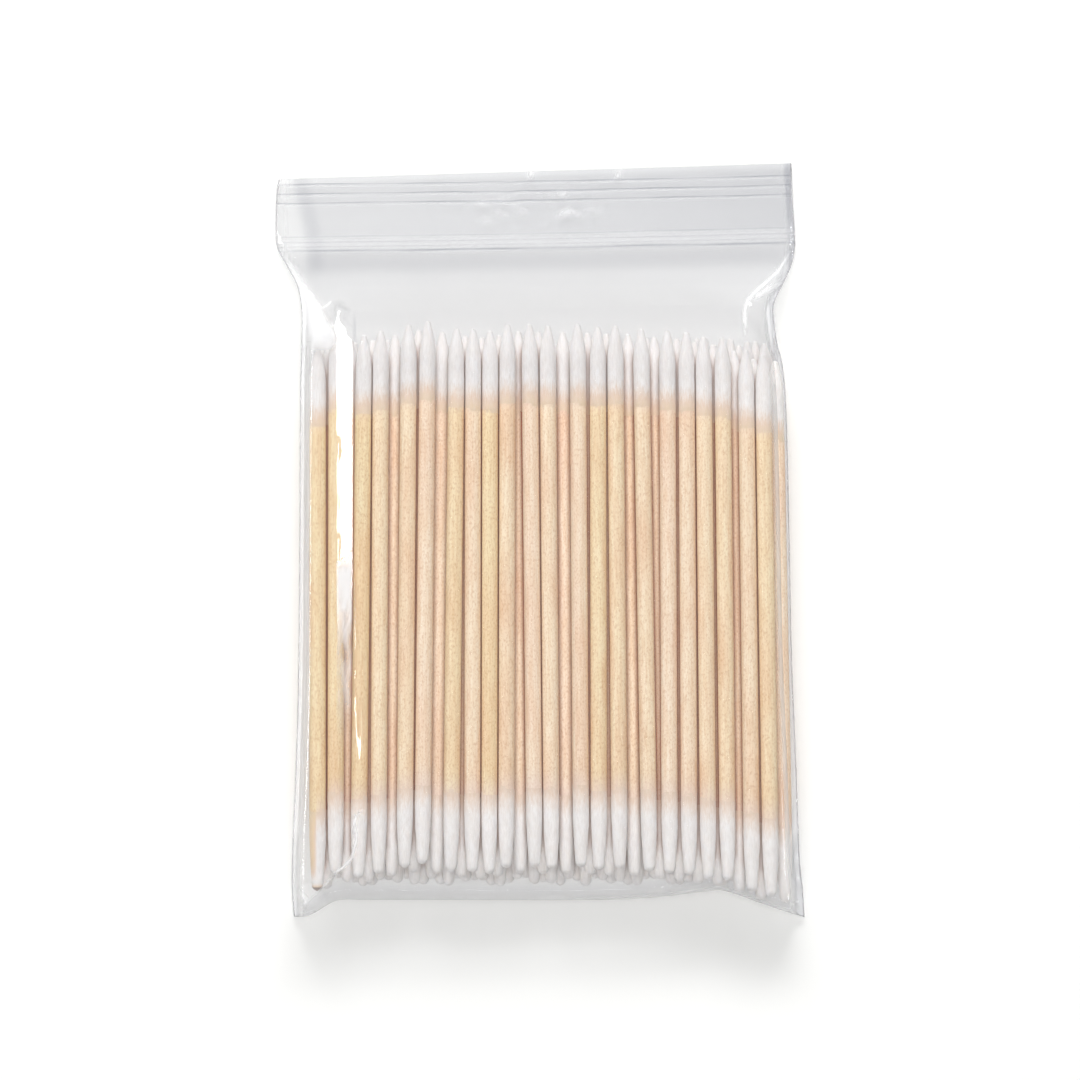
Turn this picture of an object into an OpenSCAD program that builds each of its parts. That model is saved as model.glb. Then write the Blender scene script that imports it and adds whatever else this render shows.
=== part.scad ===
// Clear press-to-close film bag packed with slim double-ended cotton swabs, lying on its back.
// X runs across the bag, Y towards its mouth and Z up through the pack.
// The origin is the middle of the bag's outline, on the surface that it lies on.

/* [Swabs] */
// Diameter of a wooden stick
stick_d = 2.2; // [1.8:0.1:3]
// Length of a swab over both buds
swab_l = 73; // [60:0.5:90]
// Length of the cotton at each end
bud_l = 11; // [8:0.5:14]
// Depth of the step in the wood where the cotton starts
bud_step = 0.08; // [0.04:0.01:0.15]
// Length of the point of the sharp bud
point_l = 5.5; // [3:0.5:7]
// Diameter of the sharp bud's tip
point_d = 0.5; // [0.3:0.05:0.8]
// Length over which the blunt bud grows slender
blunt_l = 8; // [5:0.5:10]
// Diameter of the blunt bud just before its round end
blunt_d = 1.35; // [0.8:0.05:1.5]
// Length of bare cotton beyond each end of the wood
tip_cotton = 1; // [0.5:0.1:1.5]
// Diameter of the wood where it ends inside a bud
wood_tip_d = 0.3; // [0.2:0.05:0.45]

/* [Packing] */
// Least free space between neighbouring sticks
swab_gap = 0.05; // [0.03:0.01:0.1]
// Inset of the hidden rows from the sides of the seen rows
rear_inset = 0.3; // [0.1:0.05:0.5]
// How far the hidden rows lie towards the bag's bottom
rear_slide = 2.6; // [2:0.1:3]
// How far a hidden swab lies out of line with its row
rear_stagger = 0.5; // [0:0.1:0.7]
// How far the second row lies below the front row
second_slide = 0.9; // [0.5:0.1:1.1]

/* [Bag] */
// Thickness of one film wall
film_t = 0.1; // [0.06:0.01:0.16]
// Free space between the film and the swabs above and below them
film_gap = 0.12; // [0.08:0.01:0.3]
// Free space between the film and the swabs at each side
side_gap = 0.6; // [0.5:0.05:1]
// Width of the welded bead down each side
seam_w = 0.4; // [0.2:0.1:0.8]
// Free space between the two films of the flat band
band_play = 0.12; // [0.08:0.01:0.2]
// Free length from the highest swab to the closure
head_room = 10.6; // [9:0.1:16]
// Free length from the highest swab's blunt end to the bottom fold
foot_room = 5; // [4.9:0.1:8]
// How far the flat band is wider than the packed body, at each side
band_spread = 1.2; // [0.5:0.1:2]
// How far the shoulders are pulled in between band and body
waist_pull = 2.2; // [1:0.1:2.6]
// Length of the corner ears at the bottom fold
ear_l = 2.1; // [1:0.1:3]
// Width of the corner ears
ear_w = 7; // [5:0.5:9]
// Radius of the packed body's long edges, seen from its end
edge_r = 1.2; // [1:0.1:1.6]
// Run of the film from the bottom fold up to its full height
foot_r = 1.6; // [1.4:0.1:1.9]
// Height of the bottom fold above the surface
fold_z = 0.9; // [0.6:0.1:1.5]
// Height of the pleats in the front film
pleat_h = 0.55; // [0.2:0.05:0.8]

/* [Closure] */
// Distance between the two films at the closure
zip_h = 1.1; // [0.9:0.05:1.6]
// Width of the arrow rib's stem
stem_w = 0.32; // [0.24:0.02:0.4]
// Width of the arrow rib across its barbs
barb_w = 0.8; // [0.66:0.02:0.9]
// Width of the arrow rib's blunt tip
rib_tip_w = 0.2; // [0.1:0.02:0.3]
// Clearance between the arrow rib and the hooks round it
zip_play = 0.08; // [0.05:0.01:0.1]
// Width of each hook
hook_w = 0.38; // [0.3:0.02:0.5]
// Height of the raised lines on the outside of the band
line_h = 0.1; // [0.05:0.01:0.15]
// Width of a raised line
line_w = 0.4; // [0.2:0.05:0.5]
// Distance from the closure to the first grip line
grip_start = 5.9; // [5:0.1:8]
// Distance between grip lines
grip_pitch = 1.15; // [0.8:0.05:1.2]
// Length of the lip from the closure to the mouth
lip_l = 9.6; // [9:0.1:14]

/* [Hidden] */
// Free space to the next front stick, beyond a diameter: at the mouth end, at the bottom end,
// and how far this swab lies below the highest one
FRONT = [
    [0.36, 0.22, 3.6], [1.43, 0.90, 1.3], [0.09, 0.49, 1.9], [1.54, 1.30, 1.3],
    [0.36, 0.22, 0.5], [1.66, 1.62, 0.0], [0.06, 0.64, 1.0], [0.06, 0.09, 1.1],
    [0.14, 0.06, 1.3], [0.77, 1.60, 0.5], [0.25, 0.09, 0.4], [1.82, 1.77, 0.6],
    [0.48, 0.22, 0.4], [0.16, 0.56, 0.8], [1.30, 1.77, 0.6], [1.29, 0.56, 1.0],
    [0.37, 0.42, 1.3], [0.09, 0.36, 1.5], [0.36, 0.42, 2.1], [0.96, 1.04, 2.2],
    [0.09, 0.33, 3.8], [0, 0, 4.4]];
front_n = len(FRONT);
// Shift of the bundle's bottom end to the right of its mouth end
lean = 0.5;
// Free space from the last front swab to the stray one of the second row, mouth and bottom end
stray = [-0.5, -0.24];
// Turn from one hidden swab to the next, which spreads the stagger of its row
back_turn = 97;
third_turn = 137;
// Half of the films' distance apart in the flat band, and the share of it kept round the body
half_play = band_play / 2;
body_play = 0.3 * half_play;

stick_r = stick_d / 2;
reach = stick_d + swab_gap;
// Distance from a swab's middle to the two planes where the spacing is set
plane_y = swab_l / 2 - 3.5;

function front_name(what, i) = str("front_", what, "_", i < 9 ? "0" : "", i + 1);

function lerp(a, b, s) = a + (b - a) * s;
function ease(s) = (1 - cos(180 * min(1, max(0, s)))) / 2;
function sum_to(list, n) = n <= 0 ? 0 : list[n - 1] + sum_to(list, n - 1);

// The swabs: a swab is [x at the mouth plane, x at the bottom plane, y of its middle, z]
front_w = [for (end = [0:1]) sum_to([for (f = FRONT) stick_d + f[end]], front_n - 1)];
front_x = [for (i = [0:front_n - 1]) [for (end = [0:1])
    sum_to([for (f = FRONT) stick_d + f[end]], i) - front_w[end] / 2 + end * lean]];
second_x = [for (i = [0:front_n - 1]) i < front_n - 1
    ? (front_x[i] + front_x[i + 1]) / 2
    : front_x[i] + [stick_d + stray[0], stick_d + stray[1]]];
second_slides = [for (i = [0:front_n - 1]) second_slide
    + (FRONT[i][2] + FRONT[min(i + 1, front_n - 1)][2]) / 2];

back_ends = [for (end = [0:1])
    [front_x[0][end] + rear_inset, second_x[front_n - 1][end] - rear_inset]];
back_n = floor((back_ends[0][1] - back_ends[0][0]) / reach) + 1;
function back_x(i) = [for (end = [0:1]) lerp(back_ends[end][0], back_ends[end][1], i / (back_n - 1))];
function rear_y(i, turn) = -rear_slide + rear_stagger * sin(i * turn);

// Height that one stick needs above another that it may lie across
function rise(a, b) =
    let (m = a[0] - b[0], f = a[1] - b[1])
    m * f <= 0 ? reach : sqrt(max(0, pow(reach, 2) - pow(min(abs(m), abs(f)), 2)));
function rest_z(a, below) = max([for (b = below) b[3] + rise(a, b)]);
function lay(row, below) = [for (a = row) [a[0], a[1], a[2], rest_z(a, below)]];

floor_z = film_t + film_gap + stick_r;
back_row = [for (i = [0:back_n - 1]) [back_x(i)[0], back_x(i)[1], rear_y(i, back_turn), floor_z]];
third_row = lay([for (i = [0:back_n - 2]) let (x = (back_x(i) + back_x(i + 1)) / 2)
    [x[0], x[1], rear_y(i, third_turn)]], back_row);
second_row = lay([for (i = [0:front_n - 1])
    [second_x[i][0], second_x[i][1], -second_slides[i]]], third_row);
front_row = lay([for (i = [0:front_n - 1])
    [front_x[i][0], front_x[i][1], -FRONT[i][2]]], concat(second_row, third_row));

// The two ends of the bundle and its top, inside the film
top_z = max([for (s = front_row) s[3]]) + stick_r + film_gap;
mouth_tip_y = swab_l / 2;
body_left = [for (end = [0:1]) front_x[0][end] - stick_r - side_gap];
body_right = [for (end = [0:1]) second_x[front_n - 1][end] + stick_r + side_gap];
seam_z = top_z * 0.45;

// Outline of the bag, in the swabs' own frame
fold_y = -swab_l / 2 - foot_room;
zip_y = mouth_tip_y + head_room;
zip_zone = hook_w + barb_w;
zip_z = zip_h / 2 + film_t + line_h + 0.1;
// The shoulders: from below the highest tip up to just below the closure, with the waist between
shoulder_y = mouth_tip_y - 2.2;
shoulder_top_y = zip_y - 1.5;
waist_y = mouth_tip_y + 1.4;
waist_half = 8;
// How much further the band stands out at its left end
band_shift = 2.2;
band_half = [body_left[0] - band_spread - band_shift, body_right[0] + band_spread];
mid_half = (body_right[0] - body_left[0]) / 2;

// Slope of the closure and of the mouth's edge, which run up to the right
zip_slope = 0.0143;
mouth_slope = 0.0314;
// Fall of the band from the closure to the mouth's edge, and its taper towards the mouth
lip_fall = 0.043;
lip_taper = 0.055;
// Spread of the left bottom corner beyond the leftmost swab
foot_flare = 1.4;
// Rise of the bottom fold near its right end: its height, place and width, as shares of the half
foot_rise = 0.7;
foot_rise_x = 0.72;
foot_rise_w = 0.16;

function body_edge(list, y) = lerp(list[0], list[1], (plane_y - y) / (2 * plane_y));
function waist(y) = abs(y - waist_y) >= waist_half ? 0
    : waist_pull * pow(cos(90 * (y - waist_y) / waist_half), 2);
function spread(y) = ease((y - shoulder_y) / (shoulder_top_y - shoulder_y));
function taper(y) = max(0, y - zip_y) * lip_taper;
function edge_left(y) =
    let (flare = foot_flare * ease((-plane_y / 2 - y) / plane_y))
    lerp(body_edge(body_left, y) - flare, band_half[0], spread(y)) + waist(y) + taper(y);
function edge_right(y) =
    lerp(body_edge(body_right, y), band_half[1], spread(y)) - waist(y) - taper(y);
function fold_line(x) =
    let (u = abs(x) - (mid_half + 1.5 - ear_w))
    fold_y - (u > 0 ? ear_l * pow(min(1, u / ear_w), 1.3) : 0)
    + foot_rise * exp(-pow((x / mid_half - foot_rise_x) / foot_rise_w, 2));
function zip_line(x) = zip_y + x * zip_slope;
function band_z(py) = zip_z - py * lip_fall;

// Columns of the film's net: rounded long edges with even steps between them
arc_n = 4;
flat_n = 24;
arc = [for (i = [0:arc_n - 1]) 90 * i / arc_n];
col_n = flat_n + 2 * arc_n;
function col_lift(i) = i < arc_n ? sin(arc[i])
    : i > arc_n + flat_n ? sin(arc[col_n - i]) : 1;
function col_x(i, y) =
    let (l = edge_left(y), r = edge_right(y))
    i < arc_n ? l + edge_r * (1 - cos(arc[i]))
    : i > arc_n + flat_n ? r - edge_r * (1 - cos(arc[col_n - i]))
    : lerp(l + edge_r, r - edge_r, (i - arc_n) / flat_n);

// Rows of the film's net, from the bottom fold to the closure: [zone, step in it]
foot_n = 4;
body_n = 9;
slope_n = 8;
// Makes the body's rows denser towards the shoulders
row_bias = 1.6;
rows = concat([for (i = [0:foot_n]) [0, i / foot_n]],
    [for (i = [1:body_n]) [1, 1 - pow(1 - i / body_n, row_bias)]],
    [for (i = [1:slope_n]) [2, i / slope_n]]);

function row_y(row, x) =
    let (fold = fold_line(x))
    row[0] == 0 ? fold + foot_r * (1 - cos(90 * row[1]))
    : row[0] == 1 ? lerp(fold + foot_r, shoulder_y, row[1])
    : lerp(shoulder_y, zip_line(x) - 2 * zip_zone, row[1]);
function row_lift(row) = row[0] == 0 ? sin(90 * row[1]) : row[0] == 1 ? 1 : 1 - ease(row[1]);
function row_seam(row, y) =
    row[0] == 2 ? lerp(seam_z, band_z(-2 * zip_zone), ease(row[1]))
    : lerp(fold_z, seam_z, ease((y - fold_y) / 9));
function row_front(row) =
    row[0] == 2 ? lerp(top_z, band_z(-2 * zip_zone), ease(row[1]))
    : lerp(fold_z, top_z, row_lift(row));
function row_back(row) =
    row[0] == 2 ? lerp(film_t, band_z(-2 * zip_zone), ease(row[1]))
    : lerp(fold_z, film_t, row_lift(row));

// Pleats in the front film: [x and y of each end, half width, height share]
pleat_x = mid_half - 5.5;
pleats = [
    [[-pleat_x, waist_y + 1.5], [-pleat_x, -8], 1.3, 1],
    [[band_half[0] + 1, zip_y - 3], [-pleat_x, waist_y], 1.5, 1.3],
    [[band_half[1] - 1, zip_y - 2.5], [pleat_x, waist_y + 1.5], 1.5, 1.3],
    [[pleat_x, waist_y + 1.5], [pleat_x, mouth_tip_y - 3], 1.2, 0.7]];
function along(p, a, b) = min(1, max(0, (p - a) * (b - a) / ((b - a) * (b - a))));
function pleat_at(p, s) =
    let (t = along(p, s[0], s[1]), off = norm(p - lerp(s[0], s[1], t)))
    pleat_h * s[3] * exp(-pow(off / s[2], 2)) * sin(90 * min(1, 4 * min(t, 1 - t) + 0.3));
function pleat(x, y) = max([for (s = pleats) pleat_at([x, y], s)]);

function play(row) = row[0] == 2 ? half_play * row[1] : body_play;
function net_y(row, i) = let (y0 = row_y(row, 0), x = col_x(i, y0)) row_y(row, x);
function front_point(row, i) =
    let (y = net_y(row, i), x = col_x(i, y), lift = col_lift(i), seam = row_seam(row, y),
         fade = row[0] == 2 ? 1 - ease(2 * row[1] - 1) : row_lift(row))
    [x, y, lerp(seam, row_front(row), lift) + play(row) + pleat(x, y) * lift * fade];
function back_point(row, i) =
    let (y = net_y(row, i), x = col_x(i, y), seam = row_seam(row, y),
         flat = row_lift(row) == 1 ? 0 : play(row))
    [x, y, lerp(seam, row_back(row), col_lift(i)) - (col_lift(i) == 1 ? flat : body_play)];

front_net = [for (row = rows) [for (i = [0:col_n]) front_point(row, i)]];
back_net = [for (row = rows) [for (i = [0:col_n]) back_point(row, i)]];

// Outward normal of a net, where up is 1 for the front film and -1 for the back one
function unit(v) = v / norm(v);
function net_normal(net, k, i, up) =
    let (last = len(net) - 1,
         across = net[k][min(i + 1, col_n)] - net[k][max(i - 1, 0)],
         along = net[min(k + 1, last)][i] - net[max(k - 1, 0)][i])
    unit(cross(across, along)) * up;
function outside(net, up) = [for (k = [0:len(net) - 1]) [for (i = [0:col_n])
    net[k][i] + film_t * (k == 0 ? unit([0, -1, up]) : net_normal(net, k, i, up))]];

// The closure's section, from its middle outwards: the arrow rib stands on the back film,
// and the hooks hang from the front film, one clearance round it
half_h = zip_h / 2;
rib_top = half_h - film_t - zip_play / 2;
barb_z = -0.02;
undercut = 0.08;
// The barb's steep side: how far it leans in, and its height
barb_side = [0.02, 0.14];
rib_half = [
    [rib_tip_w / 2, rib_top], [barb_w / 2 - barb_side[0], barb_z + barb_side[1]],
    [barb_w / 2, barb_z],
    [stem_w / 2, barb_z - undercut], [stem_w / 2, -half_h],
    [barb_w / 2 + zip_play + hook_w / 2, -half_h], [barb_w / 2 + zip_play + hook_w, -half_h],
    [zip_zone, -half_h], [2 * zip_zone, -half_play]];
hook_half = [
    [rib_tip_w / 2 + 0.7 * zip_play, rib_top + zip_play],
    [barb_w / 2 - barb_side[0] + zip_play, barb_z + barb_side[1] + zip_play / 2],
    [barb_w / 2 + zip_play, barb_z - zip_play],
    [stem_w / 2 + zip_play, barb_z - undercut - 1.25 * zip_play],
    [stem_w / 2 + 1.6 * zip_play, -half_h + 1.4 * zip_play],
    [barb_w / 2 + zip_play + hook_w / 2, -half_h + 1.6 * zip_play],
    [barb_w / 2 + zip_play + hook_w - 0.06, half_h],
    [zip_zone, half_h], [2 * zip_zone, half_play]];
half_n = len(rib_half);
function both_sides(half) = concat([for (k = [half_n - 2:-1:0]) [-half[k][0], half[k][1]]], half);
rib_path = both_sides(rib_half);
hook_path = both_sides(hook_half);

// Raised lines outside the band: one on each hook, one by the closure and three to grip
function raised(at, base) = [[at - line_w / 2, base], [at, base + line_h], [at + line_w / 2, base]];
flat_out = half_play + film_t;
zip_out = half_h + film_t;
line_at = (barb_w + hook_w) / 2 + zip_play;
band_path = concat(
    [[-zip_zone, zip_out]], raised(-line_at, zip_out), raised(line_at, zip_out),
    [[zip_zone + line_w / 2, zip_out]], [[2 * zip_zone, flat_out]],
    raised(2 * zip_zone + line_w, flat_out),
    [for (g = [0:2]) each raised(grip_start + g * grip_pitch, flat_out)]);

function band_point(p, i, up) =
    let (y0 = zip_y + p[0], x = col_x(i, y0))
    [x, zip_line(x) + p[0], band_z(p[0]) + up * p[1]];
function mouth_point(z, i, up) =
    let (x = col_x(i, zip_y + lip_l))
    [x, zip_y + lip_l + x * mouth_slope, band_z(lip_l) + up * z];

front_out = concat(outside(front_net, 1), [for (p = band_path) [for (i = [0:col_n])
    band_point(p, i, 1)]], [[for (i = [0:col_n]) mouth_point(flat_out, i, 1)]]);
back_out = concat(outside(back_net, -1), [for (p = band_path) [for (i = [0:col_n])
    band_point(p, i, -1)]], [[for (i = [0:col_n]) mouth_point(flat_out, i, -1)]]);
front_in = concat(front_net, [for (p = hook_path) [for (i = [0:col_n]) band_point(p, i, 1)]],
    [[for (i = [0:col_n]) mouth_point(half_play, i, 1)]]);
back_in = concat(back_net, [for (p = rib_path) [for (i = [0:col_n]) band_point(p, i, 1)]],
    [[for (i = [0:col_n]) mouth_point(half_play, i, -1)]]);

// The welded bead is two points at each side, outside the films' meeting edge
bead_half = 0.8 * film_t;
function bead(k, i, side, up) =
    let (edge = (front_out[k][i] + back_out[k][i]) / 2)
    [(side < 0 ? min(front_out[k][i][0], back_out[k][i][0])
      : max(front_out[k][i][0], back_out[k][i][0])) + side * seam_w, edge[1],
     edge[2] + up * bead_half];
function reverse(list) = [for (i = [len(list) - 1:-1:0]) list[i]];
out_rings = [for (k = [0:len(front_out) - 1]) concat(front_out[k],
    [bead(k, col_n, 1, 1), bead(k, col_n, 1, -1)], reverse(back_out[k]),
    [bead(k, 0, -1, -1), bead(k, 0, -1, 1)])];
in_rings = [for (k = [0:len(front_in) - 1]) concat(front_in[k], reverse(back_in[k]))];

out_len = len(out_rings[0]);
in_len = len(in_rings[0]);
out_k = len(out_rings) - 1;
in_k = len(in_rings) - 1;
in_start = out_len * (out_k + 1);
film_raw = [for (ring = concat(out_rings, in_rings)) each ring];

// Numbers of the points: front and back film outside, the same inside, and the two beads
function fo(k, i) = k * out_len + i;
function bo(k, i) = k * out_len + 2 * col_n + 3 - i;
function fi(k, i) = in_start + k * in_len + i;
function bi(k, i) = in_start + k * in_len + 2 * col_n + 1 - i;
function right_bead(k, low) = k * out_len + col_n + 1 + low;
function left_bead(k, low) = k * out_len + out_len - 1 - low;
function quad(a, b, c, d) = [[a, b, c], [a, c, d]];

walls = [
    for (k = [0:out_k - 1], j = [0:out_len - 1])
        let (a = k * out_len + j, b = k * out_len + (j + 1) % out_len)
        each quad(a, a + out_len, b + out_len, b),
    for (k = [0:in_k - 1], j = [0:in_len - 1])
        let (a = in_start + k * in_len + j, b = in_start + k * in_len + (j + 1) % in_len)
        each quad(a, b, b + in_len, a + in_len)];
fold_faces = [
    for (i = [0:col_n - 1]) each quad(fo(0, i), fo(0, i + 1), bo(0, i + 1), bo(0, i)),
    for (i = [0:col_n - 1]) each quad(bi(0, i), bi(0, i + 1), fi(0, i + 1), fi(0, i)),
    each quad(fo(0, col_n), right_bead(0, 0), right_bead(0, 1), bo(0, col_n)),
    each quad(left_bead(0, 0), fo(0, 0), bo(0, 0), left_bead(0, 1))];
rim_faces = [
    for (i = [0:col_n - 1]) each quad(fi(in_k, i), fi(in_k, i + 1), fo(out_k, i + 1), fo(out_k, i)),
    for (i = [0:col_n - 1]) each quad(bo(out_k, i), bo(out_k, i + 1), bi(in_k, i + 1), bi(in_k, i)),
    [fi(in_k, col_n), right_bead(out_k, 0), fo(out_k, col_n)],
    [fi(in_k, col_n), right_bead(out_k, 1), right_bead(out_k, 0)],
    [fi(in_k, col_n), bi(in_k, col_n), right_bead(out_k, 1)],
    [bi(in_k, col_n), bo(out_k, col_n), right_bead(out_k, 1)],
    [fi(in_k, 0), fo(out_k, 0), left_bead(out_k, 0)],
    [left_bead(out_k, 1), fi(in_k, 0), left_bead(out_k, 0)],
    [bi(in_k, 0), fi(in_k, 0), left_bead(out_k, 1)],
    [bo(out_k, 0), bi(in_k, 0), left_bead(out_k, 1)]];

// The middle of the bag's outline is put at the origin
low = [for (axis = [0:1]) min([for (p = film_raw) p[axis]])];
high = [for (axis = [0:1]) max([for (p = film_raw) p[axis]])];
centre = [(low[0] + high[0]) / 2, (low[1] + high[1]) / 2, 0];

module bag_film() {
    color([0.88, 0.89, 0.92, 0.35])
    translate(-centre)
    polyhedron(film_raw, concat(walls, fold_faces, rim_faces));
}

// Outlines are radius and height, from a swab's middle towards one of its ends
wood_end = swab_l / 2 - tip_cotton;
bud_start = swab_l / 2 - bud_l;
// The wood inside a bud, and how much it has narrowed just before the bud does
core_r = stick_r - bud_step;
neck_taper = 0.12;
neck_lead = 0.5;
function neck_y(length) = swab_l / 2 - length - neck_lead;

module stick() {
    color("BurlyWood")
    rotate_extrude($fn = 48)
    polygon([
        [0, -wood_end], [wood_tip_d / 2, -wood_end], [core_r - neck_taper, -neck_y(blunt_l)],
        [core_r, -bud_start], [stick_r, -bud_start],
        [stick_r, bud_start], [core_r, bud_start],
        [core_r - neck_taper, neck_y(point_l)], [wood_tip_d / 2, wood_end], [0, wood_end]]);
}

// The bud's narrowing end, in n steps that grow steeper towards its tip
function ogive(length, end_r, n) = [for (i = [0:n]) let (s = i / n)
    [lerp(stick_r, end_r, pow(s, 1.7)), swab_l / 2 - length + (length - end_r * 0.8) * s]];

module bud(length, end_r, cap) {
    color("WhiteSmoke")
    rotate_extrude($fn = 48)
    polygon(concat(
        [[core_r, bud_start], [stick_r, bud_start]],
        ogive(length, end_r, 5),
        cap,
        [[0, swab_l / 2], [0, wood_end], [wood_tip_d / 2, wood_end],
         [core_r - neck_taper, neck_y(length)]]));
}

module sharp_bud() {
    bud(point_l, point_d / 2, [[point_d / 5, swab_l / 2]]);
}

module blunt_bud() {
    mirror([0, 0, 1])
    bud(blunt_l, blunt_d / 2,
        [[blunt_d / 3, swab_l / 2 - blunt_d * 0.12], [blunt_d / 7, swab_l / 2]]);
}

// Puts a swab's piece where the swab lies, its sharp end towards the mouth
module place(swab) {
    turn = atan((swab[1] - swab[0]) / (2 * plane_y));
    translate([(swab[0] + swab[1]) / 2, swab[2], swab[3]] - centre)
    rotate([0, 0, turn])
    rotate([-90, 0, 0])
    children();
}

module sticks(row) {
    for (swab = row) place(swab) stick();
}

module buds(row) {
    for (swab = row) {
        place(swab) sharp_bud();
        place(swab) blunt_bud();
    }
}

bag_film();
for (i = [0:front_n - 1]) {
    sticks([front_row[i]]);
    buds([front_row[i]]);
}
sticks(second_row);  // second_row_sticks
buds(second_row);  // second_row_buds
sticks(third_row);  // third_row_sticks
buds(third_row);  // third_row_buds
sticks(back_row);  // back_row_sticks
buds(back_row);  // back_row_buds
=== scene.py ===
"""Clear press-to-close film bag packed with slim double-ended cotton swabs, lying on its back.

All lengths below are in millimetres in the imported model's own frame, and are turned to metres
when a mesh is finished: X across the bag, Y towards its mouth, Z up through the pack.
"""
import math
import random

import bmesh
import bpy
from mathutils import Matrix, Vector, noise


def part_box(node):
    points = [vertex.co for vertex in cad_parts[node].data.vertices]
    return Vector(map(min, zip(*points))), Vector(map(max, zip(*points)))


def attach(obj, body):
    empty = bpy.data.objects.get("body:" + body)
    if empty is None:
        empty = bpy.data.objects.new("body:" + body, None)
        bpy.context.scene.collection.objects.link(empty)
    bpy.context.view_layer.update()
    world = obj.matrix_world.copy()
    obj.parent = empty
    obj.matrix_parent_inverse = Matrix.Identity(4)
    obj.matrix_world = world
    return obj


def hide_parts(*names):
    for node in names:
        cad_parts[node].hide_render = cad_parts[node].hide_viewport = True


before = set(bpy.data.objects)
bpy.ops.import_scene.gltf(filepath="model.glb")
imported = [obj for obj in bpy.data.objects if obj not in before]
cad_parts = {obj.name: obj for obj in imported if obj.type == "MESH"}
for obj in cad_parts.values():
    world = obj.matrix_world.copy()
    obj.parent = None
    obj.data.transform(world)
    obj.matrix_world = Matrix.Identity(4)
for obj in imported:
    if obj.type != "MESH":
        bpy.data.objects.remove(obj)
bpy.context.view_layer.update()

bl_info = {
    "name": "Cotton swab bag",
    "version": (1, 0, 0),
    "blender": (4, 5, 0),
    "location": "3D View > Sidebar > Swab bag",
    "description": "Builds a clear film bag of double-ended cotton swabs round its packed model",
    "category": "Add Mesh",
}

MM = 0.001
BODY = "root"
STICK_D = 2.2
STICK_R = STICK_D / 2
SWAB_L = 73
TIP_COTTON = 1.0
# Painted shade in the gaps between swabs: how far apart two swabs' lines may lie to count as
# neighbours, where a neighbour's bud closes and over what length, how deep the painted shade
# looks, and how far it reaches in front and behind
NEAR_X, NEAR_Z = 3.4, 2.6
BUD_END, BUD_ROUND = 36.2, 3.5
GROOVE_SHADE_DEPTH = 1.4
FRONT_SHADE_REACH, REAR_SHADE_REACH = 0.3, 0.8
# Each swab is turned and toned by chance, but the leftmost sticks are the yellowest, and those
# behind are the pinkest
FULL_TURN = 6.283
YELLOW_STICKS, YELLOW_TONE, REAR_TONE = 3, 0.9, 0.3
ROWS = ("second_row", "third_row", "back_row")
FRONT_COUNT = sum(name.startswith("front_stick_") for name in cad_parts)


# Small helpers

def lerp(a, b, s):
    """The value that lies at share s of the way from a to b."""
    return a + (b - a) * s


def clamp(s):
    """The value, kept between 0 and 1."""
    return min(1.0, max(0.0, s))


def ease(s):
    """A soft step that rises from 0 at 0 to 1 at 1."""
    return (1.0 - math.cos(math.pi * clamp(s))) / 2.0


def bump(s):
    """A soft hill from -1 to 1, with its top at 0."""
    return math.cos(math.pi * s / 2) ** 2 if abs(s) < 1 else 0.0


def waves(x, y, z):
    """Smooth noise at a place, from about -1 to 1."""
    return noise.noise(Vector((x, y, z)))


def colour(text):
    """An sRGB hex colour as the linear values that a shader takes."""
    parts = [int(text[i:i + 2], 16) / 255 for i in (1, 3, 5)]
    return [c / 12.92 if c <= 0.04045 else ((c + 0.055) / 1.055) ** 2.4 for c in parts] + [1.0]


def side_x(line, y):
    """Where a swab's middle line crosses y."""
    s = (line[0].y - y) / (line[0].y - line[1].y)
    return lerp(line[0].x, line[1].x, s)


def cad_swabs(node):
    """The middle lines of a node's sticks, as pairs of points: sharp end first, blunt end last."""
    bm = bmesh.new()
    bm.from_mesh(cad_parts[node].data)
    bmesh.ops.scale(bm, vec=(1 / MM,) * 3, verts=bm.verts)
    bmesh.ops.remove_doubles(bm, verts=bm.verts, dist=0.001)
    lines, seen = [], set()
    for start in bm.verts:
        if start in seen:
            continue
        island, queue = [], [start]
        seen.add(start)
        while queue:
            vert = queue.pop()
            island.append(vert.co.copy())
            for edge in vert.link_edges:
                other = edge.other_vert(vert)
                if other not in seen:
                    seen.add(other)
                    queue.append(other)
        ends = []
        for pick in (max, min):
            y = pick(co.y for co in island)
            rim = [co for co in island if abs(co.y - y) < 0.05]
            ends.append(sum(rim, Vector()) / len(rim))
        lines.append(ends)
    bm.free()
    return sorted(lines, key=lambda line: line[0].x)


FRONT_LINES = [cad_swabs(f"front_stick_{i + 1:02d}")[0] for i in range(FRONT_COUNT)]
ROW_LINES = {row: cad_swabs(f"{row}_sticks") for row in ROWS}
ALL_LINES = FRONT_LINES + [line for row in ROWS for line in ROW_LINES[row]]
FILM_LOW, FILM_HIGH = [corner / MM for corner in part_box("bag_film")]


# Settings

class SwabSettings(bpy.types.PropertyGroup):
    """Sizes and colours of the swabs"""
    stick_d: bpy.props.FloatProperty(
        name="Stick diameter", description="Diameter of a wooden stick in millimetres",
        default=STICK_D, min=1.0, max=4.0)
    tip_cotton: bpy.props.FloatProperty(
        name="Bare cotton", description="Cotton beyond each end of the wood, in millimetres",
        default=TIP_COTTON, min=0.2, max=3.0)
    bud_l: bpy.props.FloatProperty(
        name="Bud length", description="Length of the cotton at each end, in millimetres",
        default=11.0, min=5.0, max=20.0)
    fray: bpy.props.FloatProperty(
        name="Fray", description="How uneven the wound cotton is, in millimetres",
        default=0.045, min=0.0, max=0.2)
    wood_light: bpy.props.StringProperty(
        name="Light wood", description="Colour of the pale wood", default="#FEF6E6")
    wood_dark: bpy.props.StringProperty(
        name="Grain", description="Colour of the darker grain", default="#F3E1C7")
    cotton_white: bpy.props.StringProperty(
        name="Cotton", description="Colour of the bleached cotton", default="#FCF8F6")


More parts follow.
